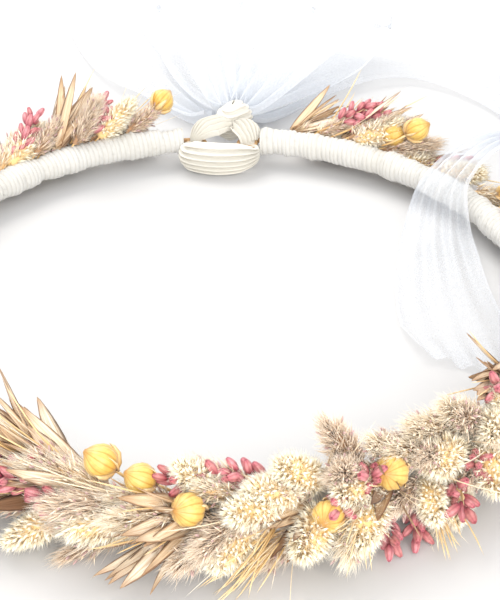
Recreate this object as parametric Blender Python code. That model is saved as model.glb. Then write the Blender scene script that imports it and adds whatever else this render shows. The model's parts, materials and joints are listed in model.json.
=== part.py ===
"""Flower crown: two wire halves wound in white yarn, dried flowers bound all along them,
and an organza ribbon that ties the two ends together in a bow behind the gap."""

import math

import bmesh
import bpy
import numpy as np

# Driving dimensions, in metres and degrees. Ring angles run counter-clockwise from +X.
RING_RADIUS = 0.097
RING_HEIGHT = 0.0088
RING_CENTRE = (-0.0070, -0.0532)
WIRE_RADIUS = 0.0009
WRAP_RADIUS = 0.0045
WRAP_BORE = 0.0013
SEAM_ANGLE = -90.0
SEAM_GAP = 0.001
GAP_HALF_ANGLE = 8.4
EYE_RADIUS = 0.003
EYE_TURN = 325.0
EYE_LEAD = 0.0047

FIRST_STATION = 76.0
STATION_STEP = 14.0
STATIONS = 24
SEAM_STATION = 12
OUTER_CLOCK = -12.0
FAN_LIFT = 20.0
UPPER_CLOCK = 66.0
UPPER_CLOCK_SWING = 13.0
UPPER_LAG = 7.0
STEM_REACH = 0.0068

RIBBON_THICKNESS = 0.0008
RIBBON_HALF_WIDTH = 0.016
LINK_RADIUS = 0.0015
KNOT_PLACE = (0.004, 0.1085, 0.0108)
KNOT_HALF_SIZE = (0.0062, 0.0052, 0.0072)
LOOP_LENGTH = 0.096
LOOP_HALF_WIDTH = 0.0185
LOOP_HALF_HEIGHT = 0.0125
LOOP_HEIGHT = 0.0155
LEFT_LOOP_ANGLE = 99.0
RIGHT_LOOP_ANGLE = 61.0

WIRE_SIDES = 8
WRAP_SIDES = 12
HEAD_SIDES = 8
ARC_SEGMENTS = 36

# Routes of the soft ribbon, around the ring's centre, with the table at height 0.
LINK_ROUTE = [
    (-0.0045, 0.1012, 0.0162), (-0.0080, 0.0975, 0.0164), (-0.0091, 0.0942, 0.0137),
    (-0.0091, 0.0937, 0.0086), (-0.0086, 0.0912, 0.0042), (-0.0055, 0.0882, 0.0030),
    (0.0000, 0.0868, 0.0030), (0.0055, 0.0882, 0.0030), (0.0086, 0.0912, 0.0042),
    (0.0091, 0.0937, 0.0086), (0.0091, 0.0942, 0.0137), (0.0088, 0.0975, 0.0164),
    (0.0080, 0.1012, 0.0162),
]
LEFT_TAIL_ROUTE = [
    (-0.0010, 0.1155, 0.0070), (-0.0050, 0.1225, 0.0025), (-0.0110, 0.1310, 0.0004),
    (-0.0220, 0.1480, 0.0004), (-0.0330, 0.1680, 0.0004), (-0.0430, 0.1900, 0.0004),
    (-0.0520, 0.2130, 0.0004), (-0.0560, 0.2260, 0.0004),
]
RIGHT_TAIL_ROUTE = [
    (0.0085, 0.1160, 0.0070), (0.0140, 0.1240, 0.0025), (0.0220, 0.1360, 0.0004),
    (0.0380, 0.1590, 0.0004), (0.0580, 0.1760, 0.0004), (0.0820, 0.1780, 0.0004),
    (0.1050, 0.1620, 0.0004), (0.1180, 0.1350, 0.0004), (0.1190, 0.1100, 0.0010),
    (0.1110, 0.0900, 0.0075), (0.1010, 0.0770, 0.0165), (0.0905, 0.0670, 0.0200),
    (0.0800, 0.0560, 0.0178), (0.0735, 0.0475, 0.0122), (0.0708, 0.0360, 0.0035),
    (0.0698, 0.0190, 0.0004), (0.0695, 0.0000, 0.0004), (0.0715, -0.0180, 0.0004),
    (0.0740, -0.0320, 0.0004),
]
# Half widths along each tail: gathered at the knot and where it climbs over the ring.
LEFT_TAIL_SPREAD = [0.30, 0.38, 0.55, 0.85, 1.0, 1.0, 1.0, 1.0]
RIGHT_TAIL_SPREAD = [
    0.30, 0.38, 0.55, 0.85, 1.0, 1.0, 1.0, 0.95, 0.75, 0.55,
    0.42, 0.36, 0.34, 0.42, 0.60, 0.80, 0.92, 1.0, 0.80,
]

# Each kind of head: length, widest radius, flatness across, lean from straight out, and
# its outline as (share of the length, share of the widest radius).
HEADS = {
    "bunny_tail": (0.022, 0.0061, 0.95, 55,
        ((0.0, 0.25), (0.14, 0.75), (0.38, 1.0), (0.68, 0.9), (0.9, 0.5))),
    "grass_plume": (0.026, 0.0062, 0.95, 57,
        ((0.0, 0.2), (0.2, 0.7), (0.45, 1.0), (0.75, 0.8), (0.92, 0.4))),
    "flax_pods": (0.018, 0.0060, 1.0, 50,
        ((0.0, 0.2), (0.25, 0.35), (0.42, 0.85), (0.62, 1.0), (0.84, 0.7))),
    "pink_buds": (0.023, 0.0058, 0.95, 54,
        ((0.0, 0.22), (0.25, 0.6), (0.48, 1.0), (0.75, 0.95), (0.93, 0.55))),
    "husk_fan": (0.027, 0.0070, 0.6, 56,
        ((0.0, 0.15), (0.3, 0.5), (0.62, 1.0), (0.85, 0.95), (0.96, 0.5))),
    "straw_bunch": (0.027, 0.0060, 0.7, 52,
        ((0.0, 0.25), (0.3, 0.45), (0.6, 0.75), (0.88, 1.0), (0.97, 0.7))),
}
# Kinds bound at each station. Nothing stands up where the ribbon's right tail climbs over.
OUTER_KINDS = (
    "husk_fan", "husk_fan", "straw_bunch", "bunny_tail", "pink_buds", "grass_plume",
    "husk_fan", "bunny_tail", "pink_buds", "bunny_tail", "bunny_tail", "straw_bunch",
    "husk_fan", "bunny_tail", "husk_fan", "grass_plume", "straw_bunch", "bunny_tail",
    "pink_buds", "grass_plume", "husk_fan", "grass_plume", "bunny_tail", "grass_plume",
)
UPPER_KINDS = (
    "pink_buds", "flax_pods", None, "grass_plume", "flax_pods", "bunny_tail",
    "pink_buds", "husk_fan", "grass_plume", "grass_plume", "bunny_tail", "bunny_tail",
    "flax_pods", "husk_fan", "pink_buds", "grass_plume", "bunny_tail", "flax_pods",
    "grass_plume", "husk_fan", "grass_plume", "pink_buds", "pink_buds", "flax_pods",
)
MATERIALS = {
    "florist_wire": ((0.42, 0.36, 0.28), 0.45, 0.9),
    "white_yarn": ((0.9, 0.89, 0.86), 0.85, 0.0),
    "organza": ((0.9, 0.92, 0.97), 0.5, 0.0),
    "bunny_tail": ((0.9, 0.84, 0.72), 0.9, 0.0),
    "grass_plume": ((0.6, 0.5, 0.45), 0.9, 0.0),
    "flax_pods": ((0.86, 0.66, 0.25), 0.5, 0.0),
    "pink_buds": ((0.74, 0.28, 0.36), 0.7, 0.0),
    "husk_fan": ((0.8, 0.68, 0.52), 0.65, 0.0),
    "straw_bunch": ((0.82, 0.62, 0.34), 0.6, 0.0),
}


def clear_scene():
    for obj in list(bpy.data.objects):
        bpy.data.objects.remove(obj, do_unlink=True)


def material(name):
    colour, roughness, metallic = MATERIALS[name]
    made = bpy.data.materials.get(name) or bpy.data.materials.new(name)
    made.use_nodes = True
    shader = made.node_tree.nodes["Principled BSDF"]
    shader.inputs["Base Color"].default_value = (*colour, 1.0)
    shader.inputs["Roughness"].default_value = roughness
    shader.inputs["Metallic"].default_value = metallic
    return made


def add_node(name, points, faces, slot, parent=None):
    """One named object from world points, kept in place when it hangs on a parent empty."""
    mesh = bpy.data.meshes.new(name)
    mesh.from_pydata([tuple(p) for p in points], [], faces)
    shell = bmesh.new()
    shell.from_mesh(mesh)
    bmesh.ops.recalc_face_normals(shell, faces=shell.faces)
    shell.to_mesh(mesh)
    shell.free()
    mesh.shade_smooth()
    mesh.set_sharp_from_angle(angle=math.radians(50))
    mesh.materials.append(material(slot))
    obj = bpy.data.objects.new(name, mesh)
    bpy.context.scene.collection.objects.link(obj)
    if parent is not None:
        obj.parent = parent
        obj.matrix_parent_inverse = parent.matrix_world.inverted()
    return obj


def around_ring(points):
    """Moves points from around the ring's centre to the part's own frame."""
    return np.asarray(points, float) + np.array([*RING_CENTRE, 0.0])


def ring_frame(angle):
    """The wire's place at a ring angle, with the directions outward and counter-clockwise."""
    a = math.radians(angle)
    outward = np.array([math.cos(a), math.sin(a), 0.0])
    along = np.array([-math.sin(a), math.cos(a), 0.0])
    place = outward * RING_RADIUS + np.array([0.0, 0.0, RING_HEIGHT])
    return place, outward, along


def smooth_route(points, count):
    """A Catmull-Rom curve through the points, read at evenly spread values."""
    p = np.asarray(points, float)
    ends = np.vstack([2 * p[0] - p[1], p, 2 * p[-1] - p[-2]])
    t = np.linspace(0, len(p) - 1, count)
    i = np.minimum(t.astype(int), len(p) - 2)
    u = (t - i)[:, None]
    a, b, c, d = ends[i], ends[i + 1], ends[i + 2], ends[i + 3]
    bend = 2 * a - 5 * b + 4 * c - d
    return 0.5 * (2 * b + (c - a) * u + bend * u**2 + (3 * b - a - 3 * c + d) * u**3)


def tangents(path):
    steps = np.gradient(path, axis=0)
    return steps / np.linalg.norm(steps, axis=1)[:, None]


def rings_to_faces(rings, sides):
    faces = []
    for i in range(rings - 1):
        for j in range(sides):
            k = (j + 1) % sides
            faces.append((i * sides + j, i * sides + k, (i + 1) * sides + k, (i + 1) * sides + j))
    return faces


def tube(path, radius, sides):
    """A capped round tube. Its section is carried along the path without twist."""
    way = tangents(path)
    side = np.cross(way[0], [0.0, 0.0, 1.0])
    if np.linalg.norm(side) < 0.2:
        side = np.cross(way[0], [1.0, 0.0, 0.0])
    points = []
    for place, t in zip(path, way):
        side = side - t * side.dot(t)
        side = side / np.linalg.norm(side)
        up = np.cross(side, t)
        for j in range(sides):
            a = 2 * math.pi * j / sides
            points.append(place + radius * (math.cos(a) * side + math.sin(a) * up))
    faces = rings_to_faces(len(path), sides)
    faces.append(tuple(range(sides)))
    faces.append(tuple(range((len(path) - 1) * sides, len(path) * sides)))
    return points, faces


def wire_half(start, end):
    """The wire's run round the ring, ending in an eye that curls towards the ring's inside."""
    turn = 1.0 if end > start else -1.0
    run = [ring_frame(a)[0] for a in np.linspace(start, end, ARC_SEGMENTS)]
    place, outward, along = ring_frame(end)
    lead = place + along * turn * EYE_LEAD
    centre = lead - outward * EYE_RADIUS
    curl = []
    for a in np.linspace(0, math.radians(EYE_TURN), 20):
        curl.append(centre + EYE_RADIUS * (math.cos(a) * outward + math.sin(a) * along * turn))
    return tube(around_ring(run + curl), WIRE_RADIUS, WIRE_SIDES)


def sleeve(start, end):
    """The yarn winding: a tube with an open bore for the wire, its ends left open."""
    angles = np.linspace(start, end, ARC_SEGMENTS)
    points = []
    for radius in (WRAP_RADIUS, WRAP_BORE):
        for angle in angles:
            place, outward, _ = ring_frame(angle)
            for j in range(WRAP_SIDES):
                a = 2 * math.pi * j / WRAP_SIDES
                points.append(place + radius * (math.cos(a) * outward + np.array([0, 0, math.sin(a)])))
    count = ARC_SEGMENTS * WRAP_SIDES
    outside = rings_to_faces(ARC_SEGMENTS, WRAP_SIDES)
    inside = [tuple(v + count for v in f) for f in outside]
    faces = outside + inside
    for j in range(WRAP_SIDES):
        k = (j + 1) % WRAP_SIDES
        last = (ARC_SEGMENTS - 1) * WRAP_SIDES
        faces.append((k, j, count + j, count + k))
        faces.append((last + j, last + k, count + last + k, count + last + j))
    return around_ring(points), faces


def strip(route, spread, count):
    """A flat ribbon of even thickness, level across, that follows a route."""
    path = smooth_route(route, count)
    widths = np.interp(np.linspace(0, 1, count), np.linspace(0, 1, len(spread)), spread)
    way = tangents(path)
    across = np.cross(way, [0.0, 0.0, 1.0])
    across /= np.linalg.norm(across, axis=1)[:, None]
    lift = np.array([0.0, 0.0, RIBBON_THICKNESS])
    left = path - across * (widths * RIBBON_HALF_WIDTH)[:, None]
    right = path + across * (widths * RIBBON_HALF_WIDTH)[:, None]
    base = -0.5 * lift
    points = np.stack([left + base, right + base, right - base, left - base], 1).reshape(-1, 3)
    points[:, 2] = np.maximum(points[:, 2], 0.0)
    faces = rings_to_faces(count, 4)
    faces.append((3, 2, 1, 0))
    faces.append(tuple((count - 1) * 4 + k for k in range(4)))
    return around_ring(points), faces


def turned(base, axis, flat_way, length, radius, flatness, outline):
    """A closed body turned round its axis, pressed thinner along flat_way, with two poles."""
    flat_way = flat_way - axis * flat_way.dot(axis)
    flat_way = flat_way / np.linalg.norm(flat_way)
    wide_way = np.cross(axis, flat_way)
    points = [base]
    for share, width in outline[1:]:
        for j in range(HEAD_SIDES):
            a = 2 * math.pi * j / HEAD_SIDES
            spoke = math.cos(a) * wide_way + flatness * math.sin(a) * flat_way
            points.append(base + axis * share * length + spoke * width * radius)
    points.append(base + axis * length)
    rings = len(outline) - 1
    faces = [tuple(v + 1 for v in f) for f in rings_to_faces(rings, HEAD_SIDES)]
    last = len(points) - 1
    for j in range(HEAD_SIDES):
        k = (j + 1) % HEAD_SIDES
        faces.append((0, 1 + k, 1 + j))
        faces.append((last, last - HEAD_SIDES + j, last - HEAD_SIDES + k))
    return around_ring(points), faces


def add_head(name, kind, angle, clock, parent):
    """One bound head: it stands off the winding at a clock angle and leans clockwise."""
    length, radius, flatness, lean, outline = HEADS[kind]
    place, outward, along = ring_frame(angle)
    c = math.radians(clock)
    off = math.cos(c) * outward + np.array([0.0, 0.0, math.sin(c)])
    across = -math.sin(c) * outward + np.array([0.0, 0.0, math.cos(c)])
    tilt = math.radians(lean)
    axis = math.cos(tilt) * off - math.sin(tilt) * along
    points, faces = turned(place + off * STEM_REACH, axis, across, length, radius, flatness, outline)
    add_node(name, points, faces, kind, parent)


def add_heads(hinge):
    """Two rows of heads all the way round, numbered by kind from the gap's right end."""
    counts = dict.fromkeys(HEADS, 0)
    for station in range(STATIONS):
        parent = hinge if station >= SEAM_STATION else None
        angle = FIRST_STATION - station * STATION_STEP
        lift = FAN_LIFT if OUTER_KINDS[station] == "husk_fan" else 0.0
        outer = (OUTER_KINDS[station], angle, OUTER_CLOCK + lift)
        upper_angle = angle - UPPER_LAG
        upper_clock = UPPER_CLOCK - UPPER_CLOCK_SWING * math.sin(math.radians(upper_angle))
        upper = (UPPER_KINDS[station], upper_angle, upper_clock)
        for kind, row_angle, clock in (outer, upper):
            if kind is not None:
                counts[kind] += 1
                add_head(f"{kind}_{counts[kind]:02d}", kind, row_angle, clock, parent)


def add_bow():
    """The knot and the two loops, which lie behind the gap in a wide V."""
    knot = np.array(KNOT_PLACE)
    half = KNOT_HALF_SIZE
    egg = ((0.0, 0.0), (0.15, 0.7), (0.5, 1.0), (0.85, 0.7))
    lower = knot - np.array([0.0, 0.0, half[2]])
    points, faces = turned(lower, np.array([0.0, 0.0, 1.0]), np.array([0.0, 1.0, 0.0]),
                           2 * half[2], half[0], half[1] / half[0], egg)
    add_node("ribbon_knot", points, faces, "organza")
    loop = ((0.0, 0.0), (0.10, 0.30), (0.32, 0.66), (0.58, 0.98), (0.80, 0.94), (0.94, 0.58))
    for name, angle in (("bow_loop_left", LEFT_LOOP_ANGLE), ("bow_loop_right", RIGHT_LOOP_ANGLE)):
        a = math.radians(angle)
        way = np.array([math.cos(a), math.sin(a), 0.0])
        start = knot + way * (half[0] + 0.0012)
        start[2] = LOOP_HEIGHT
        points, faces = turned(start, way, np.array([0.0, 0.0, 1.0]),
                               LOOP_LENGTH, LOOP_HALF_WIDTH, LOOP_HALF_HEIGHT / LOOP_HALF_WIDTH, loop)
        add_node(name, points, faces, "organza")


def main():
    clear_scene()
    hinge = bpy.data.objects.new("front_flex_axis", None)
    hinge.location = around_ring([ring_frame(SEAM_ANGLE)[0]])[0]
    bpy.context.scene.collection.objects.link(hinge)
    bpy.context.view_layer.update()

    half_seam = math.degrees(SEAM_GAP / 2 / RING_RADIUS)
    wire_seam = half_seam * 0.4
    right_end = 90.0 - GAP_HALF_ANGLE
    left_end = -270.0 + GAP_HALF_ANGLE
    add_node("wire_right", *wire_half(SEAM_ANGLE + wire_seam, right_end), "florist_wire")
    add_node("wire_left", *wire_half(SEAM_ANGLE - wire_seam, left_end), "florist_wire", hinge)
    add_node("yarn_wrap_right", *sleeve(SEAM_ANGLE + half_seam, right_end), "white_yarn")
    add_node("yarn_wrap_left", *sleeve(SEAM_ANGLE - half_seam, left_end), "white_yarn", hinge)
    link = around_ring(smooth_route(LINK_ROUTE, 40))
    add_node("ribbon_tie", *tube(link, LINK_RADIUS, WIRE_SIDES), "organza")
    add_bow()
    add_node("ribbon_tail_left", *strip(LEFT_TAIL_ROUTE, LEFT_TAIL_SPREAD, 22), "organza")
    add_node("ribbon_tail_right", *strip(RIGHT_TAIL_ROUTE, RIGHT_TAIL_SPREAD, 56), "organza")
    add_heads(hinge)


main()
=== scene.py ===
"""Looks of the dried-flower crown: a yarn-wound ring, bound sprigs and a sheer organza bow."""

import json
import math

import bpy
import numpy as np
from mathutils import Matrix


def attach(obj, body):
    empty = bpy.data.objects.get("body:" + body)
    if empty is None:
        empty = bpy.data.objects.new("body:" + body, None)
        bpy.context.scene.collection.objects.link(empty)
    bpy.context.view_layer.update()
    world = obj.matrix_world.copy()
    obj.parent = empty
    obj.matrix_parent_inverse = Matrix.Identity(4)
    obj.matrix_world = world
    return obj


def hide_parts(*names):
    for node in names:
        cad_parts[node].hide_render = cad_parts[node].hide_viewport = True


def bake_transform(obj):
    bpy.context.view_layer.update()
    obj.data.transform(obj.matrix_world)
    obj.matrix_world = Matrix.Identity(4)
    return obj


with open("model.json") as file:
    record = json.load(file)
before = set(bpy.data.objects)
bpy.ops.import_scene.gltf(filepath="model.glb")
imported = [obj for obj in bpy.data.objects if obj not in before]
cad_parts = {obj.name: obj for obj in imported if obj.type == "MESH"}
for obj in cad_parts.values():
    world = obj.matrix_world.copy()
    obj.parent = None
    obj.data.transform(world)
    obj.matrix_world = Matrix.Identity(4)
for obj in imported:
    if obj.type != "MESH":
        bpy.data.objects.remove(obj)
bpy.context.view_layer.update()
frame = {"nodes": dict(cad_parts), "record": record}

# ---------------------------------------------------------------------------------------
# Camera. It looks down on the crown from the front, close enough that the ring's left and
# right sides run out of view. Everything is placed from the ring's middle, a named mount.
mounts = {mount["name"]: mount for mount in frame["record"]["mounts"]}
ring_middle = np.array(mounts["head_opening"]["pos_m"])
ring_radius = 0.097

camera_stand = np.array([0.0101, -0.3382, 0.2214])
camera_tilt = math.radians(56.2)
lens_mm, film_mm = 80.4, 36


def placed(name, data, place=(0, 0, 0), turn=(0, 0, 0)):
    """A new object in the scene, at a place and turned."""
    made = bpy.data.objects.new(name, data)
    made.location = place
    made.rotation_euler = turn
    bpy.context.scene.collection.objects.link(made)
    return made


camera_data = bpy.data.cameras.new("camera")
camera_data.lens = lens_mm
camera_data.sensor_width = film_mm
camera = placed("camera", camera_data, ring_middle + camera_stand, (camera_tilt, 0, 0))
bpy.context.scene.camera = camera

# ---------------------------------------------------------------------------------------
# Table and light: a wide white table under a bright even sky, with one broad soft lamp
# behind on the left, so that the garland's shadow falls to the front and the right, and
# another low in front.


def plain_material(name, colour, roughness):
    """A Principled material that starts from one colour and roughness."""
    made = bpy.data.materials.new(name)
    made.use_nodes = True
    shader = made.node_tree.nodes["Principled BSDF"]
    shader.inputs["Base Color"].default_value = (*colour, 1)
    shader.inputs["Roughness"].default_value = roughness
    return made


table_half = 4.0
table_corners = [(x * table_half, y * table_half, 0) for x, y in ((-1, -1), (1, -1), (1, 1), (-1, 1))]
table_mesh = bpy.data.meshes.new("table")
table_mesh.from_pydata(table_corners, [], [(0, 1, 2, 3)])
table_mesh.materials.append(plain_material("table_white", (0.58, 0.58, 0.59), 0.6))
table = placed("table", table_mesh)

sky = bpy.data.worlds.new("sky")
sky.use_nodes = True
sky_shader = sky.node_tree.nodes["Background"]
sky_shader.inputs["Color"].default_value = (0.98, 0.99, 1.0, 1)
sky_shader.inputs["Strength"].default_value = 1.08
bpy.context.scene.world = sky

lamps = (("window", 11.0, 0.8, (-0.45, 0.55, 0.95)), ("front_fill", 11.5, 0.9, (0.15, -0.95, 0.45)))
lamp_colour = (1.0, 0.965, 0.90)
for lamp_name, lamp_power, lamp_size, lamp_place in lamps:
    lamp_data = bpy.data.lights.new(lamp_name, "AREA")
    lamp_data.energy = lamp_power
    lamp_data.size = lamp_size
    lamp_data.color = lamp_colour
    lamp_tilt = math.atan2(math.hypot(lamp_place[0], lamp_place[1]), lamp_place[2])
    lamp_swing = math.atan2(-lamp_place[0], lamp_place[1]) + math.pi
    placed(lamp_name, lamp_data, lamp_place, (lamp_tilt, 0, lamp_swing))
bpy.context.scene.view_settings.view_transform = "Standard"


# ---------------------------------------------------------------------------------------
# Florist's wire: wire bound in rust-brown paper tape, through the whole ring and seen only
# at the eyes bent at its two ends. The tape's creases are in the finish.


def node_of(tree, kind, **settings):
    """A new shader node with its properties set."""
    made = tree.nodes.new(kind)
    for key, value in settings.items():
        setattr(made, key, value)
    return made


def value_of(tree, name):
    """A point value of the piece's own mesh, such as its place along a hair."""
    return node_of(tree, "ShaderNodeAttribute", attribute_name=name).outputs["Fac"]


def own_place(tree):
    """The piece's own coordinates, in metres."""
    return node_of(tree, "ShaderNodeTexCoord").outputs["Object"]


def noise_of(tree, scale, detail, source):
    """A noise texture on any vector, such as the piece's own coordinates."""
    noise = node_of(tree, "ShaderNodeTexNoise")
    noise.inputs["Scale"].default_value = scale
    noise.inputs["Detail"].default_value = detail
    tree.links.new(source, noise.inputs["Vector"])
    return noise.outputs["Fac"]


def ramp_of(tree, factor, *stops):
    """A colour ramp through (place, colour) stops, driven by a socket or a named point value."""
    if isinstance(factor, str):
        factor = value_of(tree, factor)
    ramp = node_of(tree, "ShaderNodeValToRGB")
    while len(ramp.color_ramp.elements) < len(stops):
        ramp.color_ramp.elements.new(0.5)
    for element, (place, colour) in zip(ramp.color_ramp.elements, stops):
        element.position = place
        element.color = (*colour, 1)
    tree.links.new(factor, ramp.inputs["Fac"])
    return ramp.outputs["Color"]


def mixed(tree, first, second, factor=1.0, blend="MULTIPLY"):
    """Two colours mixed; either may be a socket or three numbers, and so may the factor."""
    mix = node_of(tree, "ShaderNodeMix", data_type="RGBA", blend_type=blend)
    for name, given in (("Factor", factor), ("A", first), ("B", second)):
        if isinstance(given, bpy.types.NodeSocket):
            tree.links.new(given, mix.inputs[name])
        elif isinstance(given, tuple):
            mix.inputs[name].default_value = (*given, 1)
        else:
            mix.inputs[name].default_value = given
    return mix.outputs["Result"]


def finish_with(made, colour, height, strength=0.5, distance=0.0002, **values):
    """Links a colour and a bump height to the Principled shader and sets its plain values."""
    tree = made.node_tree
    shader = tree.nodes["Principled BSDF"]
    tree.links.new(colour, shader.inputs["Base Color"])
    bump = node_of(tree, "ShaderNodeBump")
    bump.inputs["Strength"].default_value = strength
    bump.inputs["Distance"].default_value = distance
    tree.links.new(height, bump.inputs["Height"])
    tree.links.new(bump.outputs["Normal"], shader.inputs["Normal"])
    for name, value in values.items():
        shader.inputs[name.replace("_", " ").title()].default_value = value
    return made


wire_material = plain_material("rust_paper_tape", (0.42, 0.24, 0.10), 0.6)
wire_tree = wire_material.node_tree
wire_grain = noise_of(wire_tree, 900, 3, own_place(wire_tree))
wire_colour = ramp_of(wire_tree, wire_grain, (0.3, (0.30, 0.15, 0.06)), (0.7, (0.58, 0.36, 0.16)))
finish_with(wire_material, wire_colour, wire_grain, 0.6, 0.0003)
for wire_node in ("wire_left", "wire_right"):
    wire_mesh = frame["nodes"][wire_node].data
    wire_mesh.materials.clear()
    wire_mesh.materials.append(wire_material)

# ---------------------------------------------------------------------------------------
# Yarn winding: one soft white cotton strand wound close round the wire from end to end,
# turn beside turn, a little thicker here and there, with loose fibres standing off it.


def add_piece(name, shape, materials, body=None, replaced=()):
    """A mesh object from a shape: points, three- and four-sided faces, and point values."""
    mesh = bpy.data.meshes.new(name)
    points, quads = shape["points"], shape["quads"]
    tris = shape.get("tris", np.zeros((0, 3), int))
    mesh.vertices.add(len(points))
    mesh.vertices.foreach_set("co", points.astype(np.float32).ravel())
    corners = np.concatenate([quads.ravel(), tris.ravel()]).astype(np.int32)
    starts = np.concatenate([np.arange(len(quads)) * 4, len(quads) * 4 + np.arange(len(tris)) * 3])
    mesh.loops.add(len(corners))
    mesh.loops.foreach_set("vertex_index", corners)
    mesh.polygons.add(len(starts))
    mesh.polygons.foreach_set("loop_start", starts.astype(np.int32))
    mesh.update(calc_edges=True)
    mesh.validate()
    for key, values in shape["values"].items():
        mesh.attributes.new(key, "FLOAT", "POINT").data.foreach_set("value", values.astype(np.float32))
    for made in materials:
        mesh.materials.append(made)
    if "skins" in shape:
        skins = np.concatenate(shape["skins"]).astype(np.int32)
        mesh.polygons.foreach_set("material_index", skins)
    mesh.shade_smooth()
    piece = placed(name, mesh)
    if body is not None:
        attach(piece, body)
    if replaced:
        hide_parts(*replaced)
    return piece


def grid_quads(rows, columns, around=True):
    """Four-sided faces of a grid of points, its last column joined to its first if around."""
    last = columns if around else columns - 1
    i, j = np.meshgrid(np.arange(rows - 1), np.arange(last), indexing="ij")
    k = (j + 1) % columns
    low, high = i * columns, (i + 1) * columns
    return np.stack([low + j, low + k, high + k, high + j], -1).reshape(-1, 4)


def pole_tris(rows, columns):
    """Faces that close a tube's two ends with poles, stored after its rings in that order."""
    j = np.arange(columns)
    k = (j + 1) % columns
    last = (rows - 1) * columns
    foot = np.stack([k, j, np.full(columns, rows * columns)], -1)
    top = np.stack([last + j, last + k, np.full(columns, rows * columns + 1)], -1)
    return np.concatenate([foot, top])


def many(points, quads, tris, shared, own):
    """One shape out of many bodies alike, whose points come body by body. A shared value has a
    number for each point of a body, and an own value has one for each body."""
    count, each = points.shape[:2]
    starts = (np.arange(count) * each)[:, None, None]
    values = {key: np.tile(value, count) for key, value in shared.items()}
    values.update({key: np.repeat(value, each) for key, value in own.items()})
    return {
        "points": points.reshape(-1, 3),
        "quads": (quads + starts).reshape(-1, 4),
        "tris": (tris + starts).reshape(-1, 3),
        "values": values,
    }


def unit(vectors):
    """Vectors scaled to length one."""
    return vectors / np.linalg.norm(vectors, axis=-1, keepdims=True)


def swung(turn, first, second):
    """The direction cos turn * first + sin turn * second, for each turn."""
    return np.cos(turn)[..., None] * first + np.sin(turn)[..., None] * second


def strands(paths, radii, sides, values, flat=1.0):
    """Tapering rods. Round each path point but the last stands a ring of points,
    place + radius * (cos turn * side + flat * sin turn * up); the last point is the tip."""
    count, steps = paths.shape[:2]
    way = unit(np.gradient(paths, axis=1))
    order = np.arange(count) * 2.4
    spread = np.stack([np.sin(order), np.cos(order), 0.3 + 0 * order], -1)
    side = unit(np.cross(way, spread[:, None]))
    up = np.cross(way, side)
    turn = np.arange(sides) / sides * 2 * math.pi
    ring = swung(turn, side[:, :-1, None], flat * up[:, :-1, None])
    rings = paths[:, :-1, None] + np.broadcast_to(radii, (count, steps - 1))[..., None, None] * ring
    points = np.concatenate([rings.reshape(count, -1, 3), paths[:, -1:]], 1)
    tips = pole_tris(steps - 1, sides)[sides:]
    tips[:, 2] = (steps - 1) * sides
    j = np.arange(sides)
    feet = np.stack([np.zeros(sides - 2, int), j[2:], j[1:-1]], -1)
    along = np.append(np.repeat(np.linspace(0, 1, steps)[:-1], sides), 1.0)
    return many(points, grid_quads(steps - 1, sides), np.concatenate([tips, feet]), {"along": along}, values)


def joined(parts):
    """One shape out of (shape, skin) pairs. A value that a shape lacks is 0 on it."""
    keys = sorted({key for shape, _ in parts for key in shape["values"]})
    sizes = [len(shape["points"]) for shape, _ in parts]
    starts = np.cumsum([0] + sizes)
    made = {"points": np.concatenate([shape["points"] for shape, _ in parts])}
    for faces in ("quads", "tris"):
        made[faces] = np.concatenate([shape[faces] + start for (shape, _), start in zip(parts, starts)])
    made["values"] = {
        key: np.concatenate([part[0]["values"].get(key, np.zeros(size)) for part, size in zip(parts, sizes)])
        for key in keys
    }
    made["skins"] = [np.full(len(shape[faces]), skin) for faces in ("quads", "tris") for shape, skin in parts]
    return made


def waves(values, count, seed, low, high):
    """A smooth random line: the sum of count sines with random pitch and phase, about -1 to 1."""
    draw = np.random.default_rng(seed)
    pitch = draw.uniform(low, high, count)
    phase = draw.uniform(0, 2 * math.pi, count)
    return np.sin(values[..., None] * pitch + phase).sum(-1) / math.sqrt(count)


gap_angle = math.radians(8.4)
winding_radius = 0.00435
strand_width = 0.0017
strand_swell = 0.00032


def winding_points(angle, turn):
    """Ring angle and section angle to a point, and how near it is to a strand's crest. The radius
    swells by strand_swell * |cos(half the strand phase)|, and by two sets of random lumps."""
    phase = angle * ring_radius / strand_width * 2 * math.pi + turn + 0.9 * waves(angle, 4, 9, 15, 70)
    strand = np.abs(np.cos(phase / 2))
    lumps = 0.00032 * waves(angle, 5, 3, 20, 90) + 0.00014 * waves(angle + 0.3 * turn, 4, 4, 60, 200)
    radius = winding_radius + strand_swell * strand + lumps
    away = ring_radius + radius * np.cos(turn)
    local = [away * np.cos(angle), away * np.sin(angle), radius * np.sin(turn)]
    return np.stack(local, -1) + ring_middle, strand


winding_rows, winding_columns = 2700, 20
winding_ends = math.pi / 2 + gap_angle, 5 * math.pi / 2 - gap_angle
winding_angles = np.linspace(*winding_ends, winding_rows)
section_turns = np.linspace(0, 2 * math.pi, winding_columns, endpoint=False)
angle_grid, turn_grid = np.meshgrid(winding_angles, section_turns, indexing="ij")
winding, strand = winding_points(angle_grid, turn_grid)
winding_shape = {
    "points": np.concatenate([winding.reshape(-1, 3), winding[0].mean(0)[None], winding[-1].mean(0)[None]]),
    "quads": grid_quads(winding_rows, winding_columns)[:, ::-1],
    "tris": pole_tris(winding_rows, winding_columns)[:, ::-1],
    "values": {"strand": np.append(strand.ravel(), [0.5, 0.5])},
}

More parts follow.
